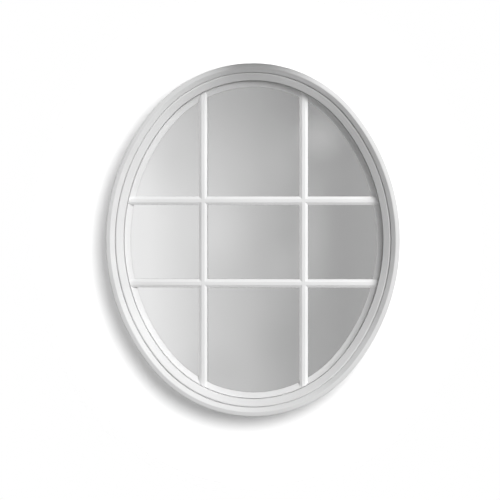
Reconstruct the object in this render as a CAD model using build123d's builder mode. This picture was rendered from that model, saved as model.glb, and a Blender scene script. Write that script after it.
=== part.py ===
from build123d import *
import math
import os

os.makedirs("parts", exist_ok=True)

# A fixed oval window with its frame. Lengths are in millimetres.
# The origin is the centre of the opening in the plane of the wall's outer face.
# +X runs to the right as seen from outdoors, +Z is up and -Y points outdoors.
# Rise is a height above the wall's outer face, outwards, and inset is a distance
# from the oval's outer edge towards its centre.

# Overall outline, a four-centred oval
overall_width = 762.0
overall_height = 914.0
end_arc_share = 0.3  # 0 gives the head the ellipse's own tight curve, 1 the half width

# Casing, the moulded ring on the face of the wall
casing_width = 22.5
casing_thickness = 19.0
casing_edge_rise = 17.0
casing_shoulder_inset = 1.5
casing_shoulder_rise = 18.2
casing_crest_inset = 11.0
casing_slope_drop = 9.0
casing_lap = 7.5  # how far the casing covers the frame's shoulder
quirk_width = 1.6  # the shadow gap between two mouldings
quirk_depth = 4.0

# Frame, the ring that lines the opening
frame_face_width = 19.0
frame_flat_width = 3.0
frame_face_rise = 6.0
frame_bevel_drop = 10.5
frame_shoulder_rise = 2.0
frame_depth = 116.0

# Sealed double-glazed unit
glass_setback = 30.0  # from the wall's outer face back to the outer pane
glass_clearance = 4.0
outer_pane_thickness = 4.0
inner_pane_thickness = 4.0
cavity_depth = 12.0
spacer_cover = 4.0  # how far the bead hides the edge of the spacer

# Glazing bead outdoors and stop indoors
bead_width = 16.4
bead_thickness = 8.0
bead_edge = 1.5
stop_thickness = 20.0
stop_ease = 4.0
stop_cover = 4.0  # how far the bead hides the stop
tape_thickness = 1.5
tape_margin = 1.5

# Glazing bars
upright_pitch = 262.0
level_pitch = 215.0
grid_drop = 6.0  # the level bars sit a little below the middle
bar_width = 22.0
bar_face_width = 8.0
bar_edge = 4.0
bar_thickness = 7.5
bar_tape_width = 14.0
cavity_bar_width = 18.0
cavity_bar_gap = 1.0

# Packers under and beside the glass
block_length = 80.0
block_offset = 150.0

# Clearances
fit = 0.2
seat_clearance = 0.3

# Oval: an end arc at the head and foot and a side arc left and right, all tangent
half_width = overall_width / 2
half_height = overall_height / 2
tight_radius = half_width**2 / half_height
end_radius = tight_radius + end_arc_share * (half_width - tight_radius)
side_radius = (half_width**2 + half_height**2 - 2 * half_height * end_radius) / (
    2 * (half_width - end_radius)
)
end_centre = half_height - end_radius
side_centre = half_width - side_radius
side_turn = math.degrees(math.atan2(abs(end_centre), abs(side_centre)))
end_turn = 180 - 2 * side_turn

# Insets of the section, from the outer edge inwards
frame_outer_inset = casing_width - casing_lap
frame_nose_inset = casing_width + quirk_width
frame_inner_inset = frame_nose_inset + frame_face_width
glass_inset = frame_inner_inset + glass_clearance
bead_crest_inset = frame_inner_inset + quirk_width
sight_inset = frame_inner_inset + bead_width
bar_end_inset = sight_inset + fit
spacer_inset = sight_inset - spacer_cover
stop_inset = sight_inset - stop_cover
inner_bar_end_inset = stop_inset + fit
tape_outer_inset = frame_inner_inset + tape_margin
tape_inner_inset = stop_inset - tape_margin

# Rises of the section, from outdoors to the room
outer_glass_rise = -glass_setback
outer_bar_rise = outer_glass_rise + tape_thickness
outer_pane_back_rise = outer_glass_rise - outer_pane_thickness
inner_pane_front_rise = outer_pane_back_rise - cavity_depth
inner_glass_rise = inner_pane_front_rise - inner_pane_thickness
stop_front_rise = inner_glass_rise - tape_thickness
stop_back_rise = stop_front_rise - stop_thickness
unit_thickness = outer_glass_rise - inner_glass_rise

# Places of the bars
upright_places = {"left": -upright_pitch / 2, "right": upright_pitch / 2}
level_places = {
    "upper": level_pitch / 2 - grid_drop,
    "lower": -level_pitch / 2 - grid_drop,
}
span_places = {
    "left": (-half_width, upright_places["left"]),
    "middle": (upright_places["left"], upright_places["right"]),
    "right": (upright_places["right"], half_width),
}


def face_plane(rise):
    return Plane.XZ.offset(rise)


def oval_face(inset, mode=Mode.ADD):
    end = end_radius - inset
    side = side_radius - inset
    with BuildLine() as outline:
        CenterArc((side_centre, 0), side, -side_turn, 2 * side_turn)
        CenterArc((0, end_centre), end, side_turn, end_turn)
        CenterArc((-side_centre, 0), side, 180 - side_turn, 2 * side_turn)
        CenterArc((0, -end_centre), end, 180 + side_turn, end_turn)
    make_face(outline.edges(), mode=mode)


def oval_ring(outer_inset, inner_inset, rise, depth):
    # A plain ring between two insets, from rise back towards the room
    with BuildPart() as ring:
        with BuildSketch(face_plane(rise)):
            oval_face(outer_inset)
            oval_face(inner_inset, mode=Mode.SUBTRACT)
        extrude(amount=-depth)
    return ring


def moulding(points):
    # A ring with the given section, points being (inset, rise)
    with BuildPart() as ring:
        with BuildLine(Plane.XZ) as path:
            CenterArc((side_centre, 0), side_radius, 0, side_turn)
            CenterArc((0, end_centre), end_radius, side_turn, end_turn)
            CenterArc((-side_centre, 0), side_radius, 180 - side_turn, 2 * side_turn)
            CenterArc((0, -end_centre), end_radius, 180 + side_turn, end_turn)
            CenterArc((side_centre, 0), side_radius, -side_turn, side_turn)
        with BuildSketch(Plane((half_width, 0, 0), x_dir=(-1, 0, 0), z_dir=(0, 0, 1))):
            with BuildLine():
                Polyline(*points, close=True)
            make_face()
        sweep(path=path.wires()[0])
    return ring


def bar_outlines(base_rise, facing):
    # The foot that sits on the glass and the bevelled body on it, as (across, rise)
    foot_side = bar_width / 2
    face_side = bar_face_width / 2
    edge_rise = base_rise + facing * bar_edge
    face_rise = base_rise + facing * bar_thickness
    foot = [
        (-foot_side, base_rise),
        (foot_side, base_rise),
        (foot_side, edge_rise),
        (-foot_side, edge_rise),
    ]
    body = [
        (-foot_side, edge_rise),
        (foot_side, edge_rise),
        (face_side, face_rise),
        (-face_side, face_rise),
    ]
    return foot, body


def trim_to_oval(inset):
    with BuildSketch(Plane.XZ) as outline:
        oval_face(inset)
    extrude(outline.sketch, amount=frame_depth, both=True, mode=Mode.INTERSECT)


def upright_bar(place, base_rise, facing, end_insets):
    with BuildPart() as bar:
        for outline, end_inset in zip(bar_outlines(base_rise, facing), end_insets):
            with BuildSketch(Plane.XY.offset(-half_height)):
                with BuildLine():
                    Polyline(*[(place + u, -r) for u, r in outline], close=True)
                make_face()
            extrude(amount=overall_height)
            trim_to_oval(end_inset)
    return bar


def level_bar(place, span, base_rise, facing, end_insets, uprights):
    with BuildPart() as bar:
        for outline, end_inset in zip(bar_outlines(base_rise, facing), end_insets):
            with BuildSketch(Plane.YZ.offset(span[0])):
                with BuildLine():
                    Polyline(*[(-r, place + u) for u, r in outline], close=True)
                make_face()
            extrude(amount=span[1] - span[0])
            trim_to_oval(end_inset)
        for upright in uprights:
            add(upright.part, mode=Mode.SUBTRACT)
    return bar


def save(piece, name):
    piece.part.label = name
    export_step(piece.part, f"parts/{name}.step")


def bar_set(side, base_rise, facing, end_insets):
    # Two uprights in one length, and level bars coped between them. The end insets
    # say where the foot and the body of a bar stop.
    uprights = []
    for name, place in upright_places.items():
        bar = upright_bar(place, base_rise, facing, end_insets)
        save(bar, f"{side}_bar_{name}")
        uprights.append(bar)
    levels = []
    for row, place in level_places.items():
        for column, span in span_places.items():
            bar = level_bar(place, span, base_rise, facing, end_insets, uprights)
            save(bar, f"{side}_bar_{row}_{column}")
            levels.append(bar)
    return uprights + levels


def bar_tape(rise, end_inset):
    # Strips under the bars, the level ones cut between the uprights
    with BuildPart() as tape:
        with BuildSketch(face_plane(rise)):
            with Locations([(0, place) for place in level_places.values()]):
                Rectangle(overall_width, bar_tape_width)
            with Locations([(place, 0) for place in upright_places.values()]):
                Rectangle(bar_tape_width + 2 * fit, overall_height, mode=Mode.SUBTRACT)
                Rectangle(bar_tape_width, overall_height)
            oval_face(end_inset, mode=Mode.INTERSECT)
        extrude(amount=-tape_thickness)
    return tape


# Casing, rebated behind to sit over the frame's shoulder
rebate_inset = frame_outer_inset - seat_clearance
casing = moulding(
    [
        (0, 0),
        (0, casing_edge_rise),
        (casing_shoulder_inset, casing_shoulder_rise),
        (casing_crest_inset, casing_thickness),
        (casing_width, casing_thickness - casing_slope_drop),
        (casing_width, frame_shoulder_rise),
        (rebate_inset, frame_shoulder_rise),
        (rebate_inset, 0),
    ]
)
save(casing, "casing")

# Frame, with a shoulder for the casing and a bevelled nose
frame = moulding(
    [
        (frame_outer_inset, -frame_depth),
        (frame_outer_inset, frame_shoulder_rise),
        (frame_nose_inset, frame_shoulder_rise),
        (frame_nose_inset, frame_face_rise),
        (frame_nose_inset + frame_flat_width, frame_face_rise),
        (frame_inner_inset, frame_face_rise - frame_bevel_drop),
        (frame_inner_inset, -frame_depth),
    ]
)
save(frame, "frame")

# Sealed unit: two panes and the strip round their edge that spaces and seals them
for name, rise, thickness in (
    ("outer_pane", outer_glass_rise, outer_pane_thickness),
    ("inner_pane", inner_pane_front_rise, inner_pane_thickness),
):
    with BuildPart() as pane:
        with BuildSketch(face_plane(rise)):
            oval_face(glass_inset)
        extrude(amount=-thickness)
    save(pane, name)

edge_spacer = oval_ring(glass_inset, spacer_inset, outer_pane_back_rise, cavity_depth)
save(edge_spacer, "edge_spacer")

# Bars inside the unit, halved where they cross
cavity_front_rise = outer_pane_back_rise - cavity_bar_gap
cavity_bar_depth = cavity_depth - 2 * cavity_bar_gap
halving_rise = cavity_front_rise - cavity_bar_depth / 2
halving_length = cavity_bar_width + 2 * fit
for name, place in upright_places.items():
    with BuildPart() as cavity_bar:
        with BuildSketch(face_plane(cavity_front_rise)):
            with Locations((place, 0)):
                Rectangle(cavity_bar_width, overall_height)
        extrude(amount=-cavity_bar_depth)
        with BuildSketch(face_plane(halving_rise)):
            with Locations([(place, level) for level in level_places.values()]):
                Rectangle(halving_length, halving_length)
        extrude(amount=cavity_bar_depth, mode=Mode.SUBTRACT)
        trim_to_oval(spacer_inset + fit)
    save(cavity_bar, f"cavity_bar_{name}")
for name, place in level_places.items():
    with BuildPart() as cavity_bar:
        with BuildSketch(face_plane(cavity_front_rise)):
            with Locations((0, place)):
                Rectangle(overall_width, cavity_bar_width)
        extrude(amount=-cavity_bar_depth)
        with BuildSketch(face_plane(halving_rise)):
            with Locations([(upright, place) for upright in upright_places.values()]):
                Rectangle(halving_length, halving_length)
        extrude(amount=-cavity_bar_depth, mode=Mode.SUBTRACT)
        trim_to_oval(spacer_inset + fit)
    save(cavity_bar, f"cavity_bar_{name}")

# Tapes that bed the glass on the stop and the bars on the glass
bedding_tape = oval_ring(tape_outer_inset, tape_inner_inset, inner_glass_rise, tape_thickness)
save(bedding_tape, "bedding_tape")

save(bar_tape(outer_bar_rise, bar_end_inset), "outer_bar_tape")
save(bar_tape(inner_glass_rise, inner_bar_end_inset), "inner_bar_tape")

# Packers between the edge of the glass and the frame
with BuildPart() as setting_blocks:
    with BuildSketch(face_plane(outer_glass_rise)):
        with Locations((-block_offset, 0), (block_offset, 0)):
            Rectangle(block_length, overall_height)
        Rectangle(overall_width, block_length)
        oval_face(frame_inner_inset + fit, mode=Mode.INTERSECT)
        oval_face(glass_inset - fit, mode=Mode.SUBTRACT)
    extrude(amount=-unit_thickness)
save(setting_blocks, "setting_blocks")

# Bars on both faces of the glass. Outdoors the body of each bar runs on over the bead.
outer_bars = bar_set("outer", outer_bar_rise, 1, (bar_end_inset, bead_crest_inset))
bar_set("inner", stop_front_rise, -1, (inner_bar_end_inset, inner_bar_end_inset))

# Bead outdoors: a bevelled ring with a quirk beside the frame, housed for the bar ends
bead_crest_rise = outer_glass_rise + bead_thickness
bead_outer_inset = frame_inner_inset + fit
bead_ring = moulding(
    [
        (bead_outer_inset, outer_glass_rise),
        (bead_outer_inset, bead_crest_rise - quirk_depth),
        (bead_crest_inset, bead_crest_rise - quirk_depth),
        (bead_crest_inset, bead_crest_rise),
        (sight_inset, outer_glass_rise + bead_edge),
        (sight_inset, outer_glass_rise),
    ]
)
with BuildPart() as outer_bead:
    add(bead_ring.part)
    for bar in outer_bars:
        add(bar.part, mode=Mode.SUBTRACT)
save(outer_bead, "outer_bead")

# Stop indoors, one ring with an eased edge
inner_stop = moulding(
    [
        (frame_inner_inset + fit, stop_front_rise),
        (stop_inset, stop_front_rise),
        (stop_inset, stop_back_rise + stop_ease),
        (stop_inset - stop_ease, stop_back_rise),
        (frame_inner_inset + fit, stop_back_rise),
    ]
)
save(inner_stop, "inner_stop")
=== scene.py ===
import math

import bpy
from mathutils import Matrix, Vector


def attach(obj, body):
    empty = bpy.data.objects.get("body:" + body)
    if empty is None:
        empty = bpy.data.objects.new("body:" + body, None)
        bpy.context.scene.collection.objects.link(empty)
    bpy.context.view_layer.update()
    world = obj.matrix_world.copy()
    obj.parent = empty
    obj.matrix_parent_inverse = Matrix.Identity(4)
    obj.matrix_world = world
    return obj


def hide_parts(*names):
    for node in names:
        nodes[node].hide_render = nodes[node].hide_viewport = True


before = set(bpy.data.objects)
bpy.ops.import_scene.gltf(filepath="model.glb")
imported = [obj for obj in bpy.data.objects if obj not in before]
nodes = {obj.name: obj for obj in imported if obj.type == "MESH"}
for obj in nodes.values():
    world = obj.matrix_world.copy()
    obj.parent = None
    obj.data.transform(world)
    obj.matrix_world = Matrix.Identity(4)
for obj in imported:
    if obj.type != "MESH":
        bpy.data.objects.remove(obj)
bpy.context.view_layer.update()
scene = bpy.context.scene
scene.view_settings.view_transform = "Standard"
print("frame loaded:", len(nodes), "nodes")


def linear(hexText):
    # sRGB hex to linear, by the standard curve
    parts = [int(hexText[i:i + 2], 16) / 255 for i in (1, 3, 5)]
    return [c / 12.92 if c <= 0.04045 else ((c + 0.055) / 1.055) ** 2.4 for c in parts] + [1.0]


def addNode(tree, kind, values=None, **settings):
    # values go to input sockets: a constant is set, an output socket is linked
    node = tree.nodes.new(kind)
    for name, value in settings.items():
        setattr(node, name, value)
    for socket, value in (values or {}).items():
        if isinstance(value, bpy.types.NodeSocket):
            tree.links.new(value, node.inputs[socket])
        else:
            node.inputs[socket].default_value = value
    return node


def newMaterial(name):
    material = bpy.data.materials.new(name)
    material.use_nodes = True
    material.node_tree.nodes.clear()
    return material, material.node_tree


# the oval of the part's source: four tangent arcs, so an inset is the same all the way round
oval = {
    "halfWidth": 0.381,
    "halfHeight": 0.457,
    "endArcShare": 0.3,  # 0 gives the ends an ellipse's tightest curve, 1 makes them half circles
    "steps": 288,  # along a whole ring
}
halfWidth, halfHeight = oval["halfWidth"], oval["halfHeight"]
tightRadius = halfWidth ** 2 / halfHeight
endRadius = tightRadius + oval["endArcShare"] * (halfWidth - tightRadius)
sideRadius = (halfWidth ** 2 + halfHeight ** 2 - 2 * halfHeight * endRadius) / (2 * (halfWidth - endRadius))
endCentre = halfHeight - endRadius
sideCentre = halfWidth - sideRadius
sideTurn = math.atan2(abs(endCentre), abs(sideCentre))


def ovalAt(inset, turn):
    # the point whose outward normal has this angle from +X
    turn = (turn + sideTurn) % (2 * math.pi) - sideTurn
    if turn <= sideTurn:
        centre, radius = (sideCentre, 0), sideRadius
    elif turn <= math.pi - sideTurn:
        centre, radius = (0, endCentre), endRadius
    elif turn <= math.pi + sideTurn:
        centre, radius = (-sideCentre, 0), sideRadius
    else:
        centre, radius = (0, -endCentre), endRadius
    return centre[0] + (radius - inset) * math.cos(turn), centre[1] + (radius - inset) * math.sin(turn)


# painted timber: satin white paint brushed over sanded softwood. It gives the eye a soft, broad
# shine, faint brush marks along the grain and hardly any change of tint.
paint = {
    "tint": {"ring": "#f0f0f0", "bar": "#fafafa"},  # the bars are painted lighter than the ring: a painted highlight for the brighter light on the bar faces
    "thinTint": {"ring": "#eaeaea", "bar": "#f5f5f5"},  # where the coat is thinner
    "patchSize": 0.16,
    "patchDetail": 2.0,
    "patchSpread": (0.35, 0.65),  # the noise values of a thin and a full coat
    "markWidth": 0.0016,  # real bristle marks are about 0.4 mm, drawn coarser so that they show
    "markLength": 0.07,
    "markHeight": 0.00005,
    "markDetail": 3.0,
    "markSpread": (0.3, 0.7),  # the noise values of the shiniest and the dullest mark
    "reliefStrength": 0.5,
    "roughness": (0.46, 0.6),
    "ior": 1.5,
    "ringRadius": 0.4,  # mean distance from the middle, which makes a turn round the ring a length
}


def paintedTimber(name, lay):
    material, tree = newMaterial(name)
    coatOn = "ring" if lay == "ring" else "bar"
    place = addNode(tree, "ShaderNodeTexCoord").outputs["Object"]
    parts = addNode(tree, "ShaderNodeSeparateXYZ", {"Vector": place}).outputs
    across, along = 1 / paint["markWidth"], 1 / paint["markLength"]
    if lay == "ring":  # marks run round the oval: slow change with the turn, fast with the reach
        flat = addNode(tree, "ShaderNodeVectorMath", {
            0: place,
            1: (1, 0, 1),
        }, operation="MULTIPLY").outputs["Vector"]
        reach = addNode(tree, "ShaderNodeVectorMath", {0: flat}, operation="LENGTH").outputs["Value"]
        step = addNode(tree, "ShaderNodeMath", {0: reach, 1: across}, operation="MULTIPLY").outputs[0]
        lift = addNode(tree, "ShaderNodeCombineXYZ", {"Y": step}).outputs["Vector"]
        ray = addNode(tree, "ShaderNodeVectorMath", {0: flat}, operation="NORMALIZE").outputs["Vector"]
        turned = addNode(tree, "ShaderNodeVectorMath", {
            0: ray,
            "Scale": paint["ringRadius"] * along,
        }, operation="SCALE").outputs["Vector"]
        markPlace = addNode(tree, "ShaderNodeVectorMath", {0: turned, 1: lift}, operation="ADD")
    else:
        scale = (across, across, along) if lay == "upright" else (along, across, across)
        markPlace = addNode(tree, "ShaderNodeMapping", {"Vector": place, "Scale": scale})
    deep = addNode(tree, "ShaderNodeMath", {0: parts["Y"], 1: across}, operation="MULTIPLY").outputs[0]
    marks = addNode(tree, "ShaderNodeTexNoise", {
        "Vector": markPlace.outputs["Vector"],
        "W": deep,
        "Scale": 1.0,  # the place is scaled already
        "Detail": paint["markDetail"],
    }, noise_dimensions="4D").outputs["Fac"]
    patches = addNode(tree, "ShaderNodeTexNoise", {
        "Vector": place,
        "Scale": 1 / paint["patchSize"],
        "Detail": paint["patchDetail"],
    }).outputs["Fac"]
    coat = addNode(tree, "ShaderNodeMapRange", {
        "Value": patches,
        "From Min": paint["patchSpread"][0],
        "From Max": paint["patchSpread"][1],
    }).outputs["Result"]
    tint = addNode(tree, "ShaderNodeMix", {  # sockets 6 and 7 are its two colours, output 2 the mix
        0: coat,
        6: linear(paint["thinTint"][coatOn]),
        7: linear(paint["tint"][coatOn]),
    }, data_type="RGBA").outputs[2]
    shine = addNode(tree, "ShaderNodeMapRange", {
        "Value": marks,
        "From Min": paint["markSpread"][0],
        "From Max": paint["markSpread"][1],
        "To Min": paint["roughness"][0],
        "To Max": paint["roughness"][1],
    }).outputs["Result"]
    relief = addNode(tree, "ShaderNodeBump", {
        "Strength": paint["reliefStrength"],
        "Distance": paint["markHeight"],
        "Height": marks,
    }).outputs["Normal"]
    surface = addNode(tree, "ShaderNodeBsdfPrincipled", {
        "Base Color": tint,
        "Roughness": shine,
        "Normal": relief,
        "IOR": paint["ior"],
    }).outputs["BSDF"]
    addNode(tree, "ShaderNodeOutputMaterial", {"Surface": surface})
    return material


ringPaint = paintedTimber("satin_paint_on_bent_timber", "ring")
uprightPaint = paintedTimber("satin_paint_on_upright_bar", "upright")
levelPaint = paintedTimber("satin_paint_on_level_bar", "level")

# float glass: clear low-iron sheet, floated flat on molten tin. It gives the eye a sharp reflection,
# no tint face on and a very slight roll in what it mirrors.
glass = {
    "tint": "#fcfcfc",
    "ior": 1.52,
    "roughness": 0.0,
    "rollLength": 0.21,
    "rollHeight": 0.00002,
    "rollDetail": 0.0,
    "rollStrength": 0.3,
}
floatGlass, tree = newMaterial("float_glass")
place = addNode(tree, "ShaderNodeTexCoord").outputs["Object"]
roll = addNode(tree, "ShaderNodeTexNoise", {
    "Vector": place,
    "Scale": 1 / glass["rollLength"],
    "Detail": glass["rollDetail"],
}).outputs["Fac"]
wave = addNode(tree, "ShaderNodeBump", {
    "Strength": glass["rollStrength"],
    "Distance": glass["rollHeight"],
    "Height": roll,
}).outputs["Normal"]
surface = addNode(tree, "ShaderNodeBsdfPrincipled", {
    "Base Color": linear(glass["tint"]),
    "Roughness": glass["roughness"],
    "IOR": glass["ior"],
    "Transmission Weight": 1.0,
    "Normal": wave,
}).outputs["BSDF"]
addNode(tree, "ShaderNodeOutputMaterial", {"Surface": surface})

# plain bodies with fine grains in them
grained = {"detail": 4.0, "spread": (0.3, 0.7), "reliefStrength": 0.6}


def grainedBody(name, body):
    material, tree = newMaterial(name)
    place = addNode(tree, "ShaderNodeTexCoord").outputs["Object"]
    grains = addNode(tree, "ShaderNodeTexNoise", {
        "Vector": place,
        "Scale": 1 / body["grain"],
        "Detail": grained["detail"],
    }).outputs["Fac"]
    share = addNode(tree, "ShaderNodeMapRange", {
        "Value": grains,
        "From Min": grained["spread"][0],
        "From Max": grained["spread"][1],
    }).outputs["Result"]
    tint = addNode(tree, "ShaderNodeMix", {
        0: share,
        6: linear(body["dark"]),
        7: linear(body["pale"]),
    }, data_type="RGBA").outputs[2]
    shine = addNode(tree, "ShaderNodeMapRange", {
        "Value": share,
        "To Min": body["roughness"][0],
        "To Max": body["roughness"][1],
    }).outputs["Result"]
    relief = addNode(tree, "ShaderNodeBump", {
        "Strength": grained["reliefStrength"],
        "Distance": body["height"],
        "Height": grains,
    }).outputs["Normal"]
    surface = addNode(tree, "ShaderNodeBsdfPrincipled", {
        "Base Color": tint,
        "Roughness": shine,
        "Normal": relief,
    }).outputs["BSDF"]
    addNode(tree, "ShaderNodeOutputMaterial", {"Surface": surface})
    return material


# butyl, extruded warm: it looks grey, dull and slightly wavy
butyl = grainedBody("butyl_edge_strip", {
    "dark": "#8f8f8d",
    "pale": "#a3a3a0",
    "grain": 0.003,
    "roughness": (0.6, 0.75),
    "height": 0.0001,
})
# closed-cell foam, cut in strips: its fine pores look chalky
foamTape = grainedBody("foam_glazing_tape", {
    "dark": "#d9d8d4",
    "pale": "#e8e7e3",
    "grain": 0.0012,  # real cells are about 0.3 mm, drawn coarser so that they show
    "roughness": (0.75, 0.9),
    "height": 0.0002,
})
# neoprene, moulded: a black body with a dull skin
packerRubber = grainedBody("neoprene_packer", {
    "dark": "#1c1c1d",
    "pale": "#2b2b2c",
    "grain": 0.002,
    "roughness": (0.55, 0.7),
    "height": 0.0001,
})
# powder coat, baked on aluminium: an even off-white skin with a little orange peel
barCoat = grainedBody("powder_coated_aluminium", {
    "dark": "#e9e8e4",
    "pale": "#f0efeb",
    "grain": 0.0015,
    "roughness": (0.35, 0.45),
    "height": 0.00005,
})
print("materials ready")

finishes = {
    "casing": ringPaint,
    "frame": ringPaint,
    "outer_bead": ringPaint,
    "inner_stop": ringPaint,
    "outer_pane": floatGlass,
    "inner_pane": floatGlass,
    "edge_spacer": butyl,
    "bedding_tape": foamTape,
    "outer_bar_tape": foamTape,
    "inner_bar_tape": foamTape,
    "setting_blocks": packerRubber,
}
for name, node in nodes.items():
    if name in finishes:
        finish = finishes[name]
    elif name.startswith("cavity_bar"):
        finish = barCoat
    else:
        finish = uprightPaint if name.endswith(("bar_left", "bar_right")) else levelPaint
    for slot in node.material_slots:
        slot.material = finish

# sharp arrises are eased before a coat goes on, so each ring and bar gets a narrow rounded edge
arris = {"width": 0.0006, "steps": 2, "flattestEased": math.radians(14), "weldGap": 0.00002}
for name, node in nodes.items():
    if name in ("frame", "inner_stop", "outer_bead") or "_bar_" in name and not name.endswith("tape"):
        weld = node.modifiers.new("weld", "WELD")
        weld.merge_threshold = arris["weldGap"]
        ease = node.modifiers.new("ease", "BEVEL")
        ease.width, ease.segments = arris["width"], arris["steps"]
        ease.limit_method, ease.angle_limit = "ANGLE", arris["flattestEased"]
        flats = node.modifiers.new("flats", "WEIGHTED_NORMAL")
        flats.keep_sharp = False
print("nodes dressed")


def sweepTree():
    # sweeps a closed section round a closed path, for a moulding that follows the oval
    tree = bpy.data.node_groups.new("sweptMoulding", "GeometryNodeTree")
    sockets = {
        "Path": "NodeSocketObject",
        "Section": "NodeSocketObject",
        "Ease Steps": "NodeSocketInt",
        "Finish": "NodeSocketMaterial",
    }
    for socketName, kind in sockets.items():
        tree.interface.new_socket(socketName, in_out="INPUT", socket_type=kind)
    tree.interface.new_socket("Geometry", in_out="OUTPUT", socket_type="NodeSocketGeometry")
    inputs = addNode(tree, "NodeGroupInput").outputs
    path = addNode(tree, "GeometryNodeObjectInfo", {"Object": inputs["Path"]}).outputs["Geometry"]
    path = addNode(tree, "GeometryNodeSetCurveNormal", {"Curve": path}, mode="Z_UP").outputs["Curve"]
    section = addNode(tree, "GeometryNodeObjectInfo", {"Object": inputs["Section"]}).outputs["Geometry"]
    section = addNode(tree, "GeometryNodeFilletCurve", {
        "Curve": section,
        "Count": inputs["Ease Steps"],
        "Radius": addNode(tree, "GeometryNodeInputRadius").outputs["Radius"],  # each point carries its own
        "Limit Radius": True,
    }, mode="POLY").outputs["Curve"]
    solid = addNode(tree, "GeometryNodeCurveToMesh", {
        "Curve": path,
        "Profile Curve": section,
    }).outputs["Mesh"]
    solid = addNode(tree, "GeometryNodeTransform", {
        "Geometry": solid,
        "Rotation": (math.pi / 2, 0, 0),  # from lying flat to upright
    }).outputs["Geometry"]
    solid = addNode(tree, "GeometryNodeSetShadeSmooth", {"Geometry": solid}).outputs["Geometry"]
    solid = addNode(tree, "GeometryNodeRealizeInstances", {"Geometry": solid}).outputs["Geometry"]
    solid = addNode(tree, "GeometryNodeSetMaterial", {
        "Geometry": solid,
        "Material": inputs["Finish"],
    }).outputs["Geometry"]
    addNode(tree, "NodeGroupOutput", {"Geometry": solid})
    return tree


def closedCurve(name, points):
    # points are (x, y, radius)
    curve = bpy.data.curves.new(name, "CURVE")
    curve.dimensions = "3D"
    spline = curve.splines.new("POLY")
    spline.points.add(len(points) - 1)
    for point, (x, y, radius) in zip(spline.points, points):
        point.co, point.radius = (x, y, 0, 1), radius
    spline.use_cyclic_u = True
    holder = bpy.data.objects.new(name, curve)
    scene.collection.objects.link(holder)
    return holder


def sweepRound(name, section, easeSteps, finish):
    # section points are (inset, rise, rounding)
    turns = [2 * math.pi * k / oval["steps"] for k in range(oval["steps"])]
    path = closedCurve(name + "Path", [(*ovalAt(0, turn), 1.0) for turn in turns])
    outline = [(-inset, -rise, rounding) for inset, rise, rounding in reversed(section)]
    outline = closedCurve(name + "Section", outline)
    maker = bpy.data.objects.new(name + "Maker", bpy.data.meshes.new(name + "Maker"))
    scene.collection.objects.link(maker)
    modifier = maker.modifiers.new("sweep", "NODES")
    modifier.node_group = sweepTree()
    given = {"Path": path, "Section": outline, "Ease Steps": easeSteps, "Finish": finish}
    for item in modifier.node_group.interface.items_tree:
        if item.in_out == "INPUT":
            modifier[item.identifier] = given[item.name]
    bpy.context.view_layer.update()
    mesh = bpy.data.meshes.new_from_object(maker.evaluated_get(bpy.context.evaluated_depsgraph_get()))
    mesh.name = name
    for used in (maker, path, outline):
        bpy.data.objects.remove(used)
    piece = bpy.data.objects.new(name, mesh)
    scene.collection.objects.link(piece)
    flats = piece.modifiers.new("flats", "WEIGHTED_NORMAL")
    flats.keep_sharp = False
    return piece


# casing: the source's section in metres, with its edges worked round
casing = {
    "width": 0.0225,
    "thickness": 0.019,
    "shoulderRise": 0.0181,
    "shoulderRound": 0.0016,
    "crestInset": 0.011,
    "crestRound": 0.004,
    "slopeDrop": 0.009,
    "lipRound": 0.002,
    "rebateInset": 0.0147,
    "rebateRise": 0.002,
    "backRound": 0.0003,
    "easeSteps": 5,
}
casingSection = [
    (0, 0, casing["backRound"]),
    (0, casing["shoulderRise"], casing["shoulderRound"]),
    (casing["crestInset"], casing["thickness"], casing["crestRound"]),
    (casing["width"], casing["thickness"] - casing["slopeDrop"], casing["lipRound"]),
    (casing["width"], casing["rebateRise"], casing["backRound"]),
    (casing["rebateInset"], casing["rebateRise"], casing["backRound"]),
    (casing["rebateInset"], 0, casing["backRound"]),
]
casingPiece = sweepRound("casing_moulding", casingSection, casing["easeSteps"], ringPaint)
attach(casingPiece, "root")
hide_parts("casing")
print("casing swept:", len(casingPiece.data.polygons), "faces")

view = {
    "azimuth": 3.0,  # degrees to the right of straight on
    "elevation": 1.0,
    "distance": 8.0,
    "frameWidth": 1.2965,  # metres across the picture at the window
    "aim": (-0.0075, -0.0262),  # right and up from the window's middle
    "sensorWidth": 36,
    "clipEnd": 50,
}
azimuth, elevation = math.radians(view["azimuth"]), math.radians(view["elevation"])
level = math.cos(elevation)
back = Vector((math.sin(azimuth) * level, -math.cos(azimuth) * level, math.sin(elevation)))
turnedRight = Vector((math.cos(azimuth), math.sin(azimuth), 0))
turnedUp = back.cross(turnedRight)
cameraData = bpy.data.cameras.new("camera")
cameraData.sensor_width = view["sensorWidth"]
cameraData.lens = view["sensorWidth"] * view["distance"] / view["frameWidth"]
cameraData.clip_end = view["clipEnd"]
camera = bpy.data.objects.new("camera", cameraData)
camera.location = back * view["distance"] + turnedRight * view["aim"][0] + turnedUp * view["aim"][1]
camera.rotation_euler = (-back).to_track_quat("-Z", "Y").to_euler()
scene.collection.objects.link(camera)
scene.camera = camera
print("camera set")


def seenDirectly(tree):
    # 1 for what the camera sees itself, in a mirror or through glass
    path = addNode(tree, "ShaderNodeLightPath").outputs
    either = addNode(tree, "ShaderNodeMath", {
        0: path["Is Camera Ray"],
        1: path["Is Glossy Ray"],
    }, operation="MAXIMUM").outputs[0]
    return addNode(tree, "ShaderNodeMath", {
        0: either,
        1: path["Is Transmission Ray"],
    }, operation="MAXIMUM").outputs[0]


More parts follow.
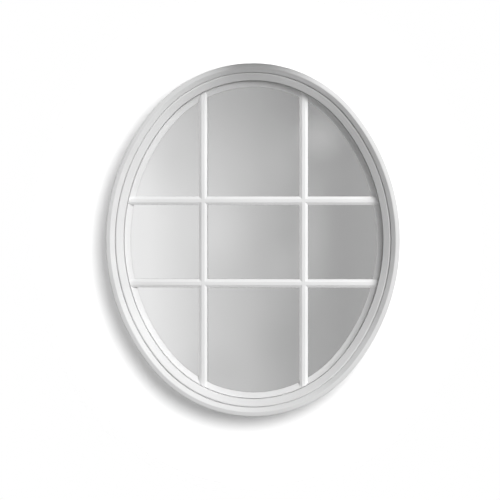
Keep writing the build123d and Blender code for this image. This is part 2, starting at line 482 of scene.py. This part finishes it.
def paleStage(name, sheet):
    # matt card that keeps shadows, reads as white where it is lit, is clear from behind and fades at its rim
    material, tree = newMaterial(name)
    glow = addNode(tree, "ShaderNodeMath", {
        0: seenDirectly(tree),
        1: sheet["glow"],
    }, operation="MULTIPLY").outputs[0]
    matt = addNode(tree, "ShaderNodeBsdfDiffuse", {"Color": linear(sheet["tone"])}).outputs["BSDF"]
    light = addNode(tree, "ShaderNodeEmission", {"Strength": glow}).outputs["Emission"]
    shown = addNode(tree, "ShaderNodeAddShader", {0: matt, 1: light}).outputs["Shader"]
    fade = addNode(tree, "ShaderNodeAttribute", attribute_name="fade").outputs["Fac"]
    behind = addNode(tree, "ShaderNodeNewGeometry").outputs["Backfacing"]
    amount = addNode(tree, "ShaderNodeMath", {
        0: fade,
        1: behind,
    }, operation="SUBTRACT", use_clamp=True).outputs[0]
    clear = addNode(tree, "ShaderNodeBsdfTransparent").outputs["BSDF"]
    shown = addNode(tree, "ShaderNodeMixShader", {0: amount, 1: clear, 2: shown}).outputs["Shader"]
    addNode(tree, "ShaderNodeOutputMaterial", {"Surface": shown})
    return material


def stagePiece(name, points, faces, material):
    mesh = bpy.data.meshes.new(name)
    mesh.from_pydata(points, [], faces)
    mesh.materials.append(material)
    piece = bpy.data.objects.new(name, mesh)
    scene.collection.objects.link(piece)
    return piece


def flatSheet(name, middle, half, material):
    # an upright rectangle, half its width and half its height each way from its middle
    signs = ((-1, -1), (1, -1), (1, 1), (-1, 1))
    corners = [middle + Vector((u * half[0], 0, v * half[1])) for u, v in signs]
    return stagePiece(name, corners, [(0, 1, 2, 3)], material)


def fadedCard(name, sheet, pointAt, material):
    # pointAt gives the place and the fade at a share of the turn and a share of the width
    turns, rings = sheet["turns"], sheet["rings"]
    points, fades, faces = [], [], []
    for k in range(turns + 1):
        for r in range(rings + 1):
            point, fade = pointAt(k / turns, r / rings)
            points.append(point)
            fades.append(max(0.0, min(1.0, fade)))
    for k in range(turns):
        for r in range(rings):
            first = k * (rings + 1) + r
            faces.append((first, first + 1, first + rings + 2, first + rings + 1))
    piece = stagePiece(name, points, faces, material)
    piece.data.attributes.new("fade", "FLOAT", "POINT").data.foreach_set("value", fades)
    if piece.data.polygons[0].normal.dot(Vector(sheet["faces"])) < 0:
        piece.data.flip_normals()
    piece.visible_shadow = piece.visible_diffuse = False  # it takes the shadow and gives none
    return piece


# pale floor well below, out of the picture
floor = {
    "level": -1.4,
    "middle": 0.05,
    "reach": 3.4,
    "full": 2.2,  # it fades from here to its reach
    "tone": "#f4f4f2",
    "glow": 0.56,
    "faces": (0, 0, 1),
    "turns": 48,
    "rings": 12,
}


def floorAt(turnShare, widthShare):
    turn = 2 * math.pi * turnShare
    reach = floor["middle"] + (floor["reach"] - floor["middle"]) * widthShare
    fade = (floor["reach"] - reach) / (floor["reach"] - floor["full"])
    return (reach * math.sin(turn), reach * math.cos(turn), floor["level"]), fade


fadedCard("floor", floor, floorAt, paleStage("pale_floor", floor))

# a ring of white card close behind the window, which catches its soft shadow
backCard = {
    "level": 0.128,
    "inner": -0.05,  # inner edge, full strength and rim are measured outwards from the oval
    "full": 0.12,
    "reach": 0.22,
    "tone": "#ffffff",
    "glow": 0.25,
    "faces": (0, -1, 0),
    "turns": 120,
    "rings": 12,
}


def backCardAt(turnShare, widthShare):
    reach = backCard["inner"] + (backCard["reach"] - backCard["inner"]) * widthShare
    x, z = ovalAt(-reach, 2 * math.pi * turnShare)
    return (x, backCard["level"], z), (backCard["reach"] - reach) / (backCard["reach"] - backCard["full"])


backCardPiece = fadedCard("shadow_card", backCard, backCardAt, paleStage("white_card", backCard))
backCardPiece.visible_transmission = False

# grey card behind the window, met only through the glass: it glows, pale at the left, darker to the right
# and the top; this glow is painted light, a painted reflection and painted shade that the panes show
card = {
    "depth": 0.45,
    "half": 1.4,
    "shift": (-0.032, -0.016),  # right and up, which brings the tones in line behind the panes
    "span": 0.36,  # half the width that the tones are spread over
    "tones": [
        (0.0, "#efefef"),
        (0.12, "#e9e9e9"),
        (0.31, "#cccccc"),
        (0.5, "#b6b6b6"),
        (0.66, "#9c9c9c"),
        (0.86, "#8c8c8c"),
        (1.0, "#929292"),
    ],
    "head": {"from": 0.16, "to": 0.46, "least": 0.68},  # heights between which it darkens, and to what: painted shade towards the top
    # soft patches that brighten or darken the glow: painted reflections and painted shade
    "patches": [
        {"at": (0.195, 0.295), "half": (0.1, 0.09), "gain": 0.55},
        {"at": (0.172, 0.020), "half": (0.07, 0.24), "gain": 0.26},
        {"at": (0.103, 0.250), "half": (0.08, 0.16), "gain": 0.12},
        {"at": (0.103, -0.064), "half": (0.08, 0.1), "gain": 0.14},
        {"at": (-0.220, 0.220), "half": (0.14, 0.16), "gain": -0.12},
        {"at": (-0.080, 0.040), "half": (0.12, 0.16), "gain": 0.14},
        {"at": (-0.100, -0.350), "half": (0.12, 0.11), "gain": -0.1},
        {"at": (0.085, -0.270), "half": (0.12, 0.12), "gain": -0.08},
    ],
}
cardMaterial, tree = newMaterial("grey_card")
place = addNode(tree, "ShaderNodeTexCoord").outputs["Object"]
shift = (-card["shift"][0], 0, -card["shift"][1])
place = addNode(tree, "ShaderNodeMapping", {"Vector": place, "Location": shift}).outputs["Vector"]
parts = addNode(tree, "ShaderNodeSeparateXYZ", {"Vector": place}).outputs
along = addNode(tree, "ShaderNodeMapRange", {
    "Value": parts["X"],
    "From Min": -card["span"],
    "From Max": card["span"],
}).outputs["Result"]
ramp = addNode(tree, "ShaderNodeValToRGB", {"Fac": along})
while len(ramp.color_ramp.elements) < len(card["tones"]):
    ramp.color_ramp.elements.new(0.5)
for element, (position, tone) in zip(ramp.color_ramp.elements, card["tones"]):
    element.position, element.color = position, linear(tone)
# the glow's strength: painted shade towards the top, times the painted patches below
paintedLightLevel = addNode(tree, "ShaderNodeMapRange", {
    "Value": parts["Z"],
    "From Min": card["head"]["from"],
    "From Max": card["head"]["to"],
    "To Min": 1.0,
    "To Max": card["head"]["least"],
}, interpolation_type="SMOOTHSTEP").outputs["Result"]
for patch in card["patches"]:
    (x, z), (wide, high) = patch["at"], patch["half"]
    away = addNode(tree, "ShaderNodeMapping", {
        "Vector": place,
        "Location": (-x / wide, 0, -z / high),
        "Scale": (1 / wide, 0, 1 / high),
    }).outputs["Vector"]
    away = addNode(tree, "ShaderNodeVectorMath", {0: away}, operation="LENGTH").outputs["Value"]
    gain = addNode(tree, "ShaderNodeMapRange", {
        "Value": away,
        "To Min": 1 + patch["gain"],
        "To Max": 1.0,
    }, interpolation_type="SMOOTHSTEP").outputs["Result"]
    paintedLightLevel = addNode(tree, "ShaderNodeMath", {0: paintedLightLevel, 1: gain}, operation="MULTIPLY").outputs[0]
glow = addNode(tree, "ShaderNodeEmission", {
    "Color": ramp.outputs["Color"],
    "Strength": paintedLightLevel,
}).outputs["Emission"]
addNode(tree, "ShaderNodeOutputMaterial", {"Surface": glow})
cardPiece = flatSheet("grey_card", Vector((0, card["depth"], 0)), (card["half"], card["half"]), cardMaterial)
cardPiece.visible_camera = cardPiece.visible_diffuse = False
cardPiece.visible_glossy = cardPiece.visible_shadow = False

# lamps: a broad soft key from the upper right and a weak fill from the lower left, one for the white
# card alone, and one on the room side. Angles are in degrees: turn from +X to +Z, rise towards outdoors.
lamps = {
    "key": {"turn": 39, "rise": 42.5, "distance": 6.0, "size": 4.6, "power": 402},
    "fill": {"turn": 224, "rise": 32, "distance": 6.0, "size": 4.6, "power": 58},
    "cardKey": {"turn": 35, "rise": 74.5, "distance": 6.0, "size": 2.0, "power": 309},
    "roomFill": {"turn": 160, "rise": -62, "distance": 6.0, "size": 4.6, "power": 340},
}
aims, holders = {}, {}
for name, lamp in lamps.items():
    turn, rise = math.radians(lamp["turn"]), math.radians(lamp["rise"])
    aims[name] = Vector((math.cos(rise) * math.cos(turn), -math.sin(rise), math.cos(rise) * math.sin(turn)))
    data = bpy.data.lights.new(name, "AREA")
    data.shape, data.size, data.energy = "DISK", lamp["size"], lamp["power"]
    holder = holders[name] = bpy.data.objects.new(name, data)
    holder.location = aims[name] * lamp["distance"]
    holder.rotation_euler = (-aims[name]).to_track_quat("-Z", "Y").to_euler()
    holder.visible_camera = holder.visible_transmission = False
    scene.collection.objects.link(holder)

# a small black flag between the key and the head of the window, which softly shades the top of the casing
flag = {"over": (0.01, 0.0, 0.486), "away": 0.2, "half": (0.13, 0.085), "tint": "#0a0a0a"}
flagMaterial, tree = newMaterial("black_flag")
matt = addNode(tree, "ShaderNodeBsdfDiffuse", {"Color": linear(flag["tint"])}).outputs["BSDF"]
addNode(tree, "ShaderNodeOutputMaterial", {"Surface": matt})
flagMiddle = Vector(flag["over"]) + aims["key"] * flag["away"]
flagPiece = flatSheet("black_flag", flagMiddle, flag["half"], flagMaterial)
flagPiece.visible_camera = flagPiece.visible_glossy = flagPiece.visible_transmission = False


def linkedGroup(name, piece, state):
    group = bpy.data.collections.new(name)
    group.objects.link(piece)
    group.collection_objects[0].light_linking.link_state = state
    return group


# the card's lamp lights the card alone and ignores the flag, and the other lamps leave the card out
for name, holder in holders.items():
    state = "INCLUDE" if name == "cardKey" else "EXCLUDE"
    holder.light_linking.receiver_collection = linkedGroup(name + "Lights", backCardPiece, state)
holders["cardKey"].light_linking.blocker_collection = linkedGroup("cardKeyShadows", flagPiece, "EXCLUDE")

# the world is white where it is seen, and a dim even fill elsewhere
sky = {"tint": "#ffffff", "seen": 1.0, "fill": 0.05}
world = bpy.data.worlds.new("studio")
world.use_nodes = True
scene.world = world
tree = world.node_tree
tree.nodes.clear()
strength = addNode(tree, "ShaderNodeMapRange", {
    "Value": seenDirectly(tree),
    "To Min": sky["fill"],
    "To Max": sky["seen"],
}).outputs["Result"]
backdrop = addNode(tree, "ShaderNodeBackground", {"Color": linear(sky["tint"]), "Strength": strength})
addNode(tree, "ShaderNodeOutputWorld", {"Surface": backdrop.outputs["Background"]})
print("stage lit")
